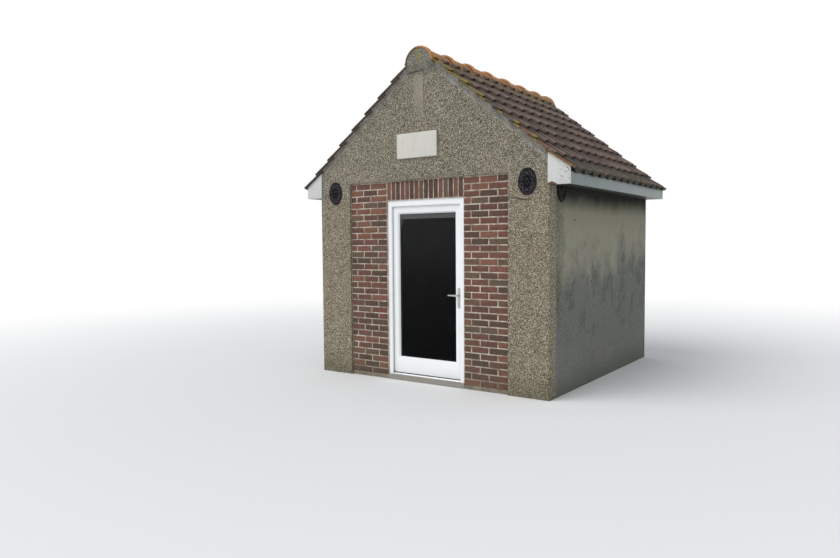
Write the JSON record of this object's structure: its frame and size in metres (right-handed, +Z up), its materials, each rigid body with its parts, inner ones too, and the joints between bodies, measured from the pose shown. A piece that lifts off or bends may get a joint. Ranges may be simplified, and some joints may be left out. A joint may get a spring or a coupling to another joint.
{
  "type": "wayside shrine",
  "caption": "Small gabled wayside chapel with a glazed door in a brick panel, rendered walls, boxed eaves, pantiled roof and half-round ridge.",
  "frame": {"origin": "on the ground under the middle of the building, at the centre of its plan", "axes": "+X to the right across the front, +Y from the front to the back, +Z up; the door faces -Y"},
  "size_m": [3.84, 3.42, 3.9627],
  "materials": {
    "pebble_dash": "rough-cast with pebbles, dull",
    "smooth_render": "floated cement render, dull and stained",
    "brick": "dull fired clay with pale mortar joints",
    "concrete": "floated concrete",
    "sawn_wood": "sawn softwood",
    "clay_tile": "dull dark brown clay pantiles with lichen",
    "ridge_clay": "dull orange clay with lichen",
    "mortar": "rough lime and cement mortar",
    "white_plastic": "satin white plastic",
    "grey_plastic": "satin pale grey plastic",
    "plaque_stone": "smooth off-white stone, bare",
    "black_iron": "painted black, satin",
    "glass": "clear double glazing",
    "satin_metal": "satin"
  },
  "bodies": {
    "building": {"floor_slab": "concrete", "door_step": "concrete", "front_pier_left": "pebble_dash", "front_pier_right": "pebble_dash", "brick_panel_left": "brick", "brick_panel_right": "brick", "brick_lintel": "brick", "front_gable": "pebble_dash", "side_wall_left": "smooth_render", "side_wall_right": "smooth_render", "rear_wall": "smooth_render", "rear_gable": "smooth_render", "wall_plate_left": "sawn_wood", "wall_plate_right": "sawn_wood", "rafters": "sawn_wood", "ridge_board": "sawn_wood", "roof_boards_left": "sawn_wood", "roof_boards_right": "sawn_wood", "tile_battens": "sawn_wood", "tile_courses_left": "clay_tile", "tile_courses_right": "clay_tile", "ridge_tiles": "ridge_clay", "ridge_mortar": "mortar", "soffit_left": "white_plastic", "soffit_right": "white_plastic", "fascia_left": "grey_plastic", "fascia_right": "grey_plastic", "eave_box_ends": "white_plastic", "gable_plaque": "plaque_stone", "oval_plate_left": "black_iron", "oval_plate_right": "black_iron", "side_plate_left": "black_iron", "side_plate_right": "black_iron", "door_frame": "white_plastic", "door_threshold": "satin_metal", "hinge_frame_side": "white_plastic"},
    "door": {"door_leaf": "white_plastic", "glazing_bead": "white_plastic", "door_glass": "glass", "handle_outside": "satin_metal", "handle_inside": "satin_metal", "hinge_door_side": "white_plastic"}
  },
  "joints": [
    {"name": "door_hinge", "type": "hinge", "parent": "building", "child": "door", "pos_m": [-0.51, -1.498, 1.1], "axis": [0, 0, 1], "range_deg": [0, 90]}
  ]
}
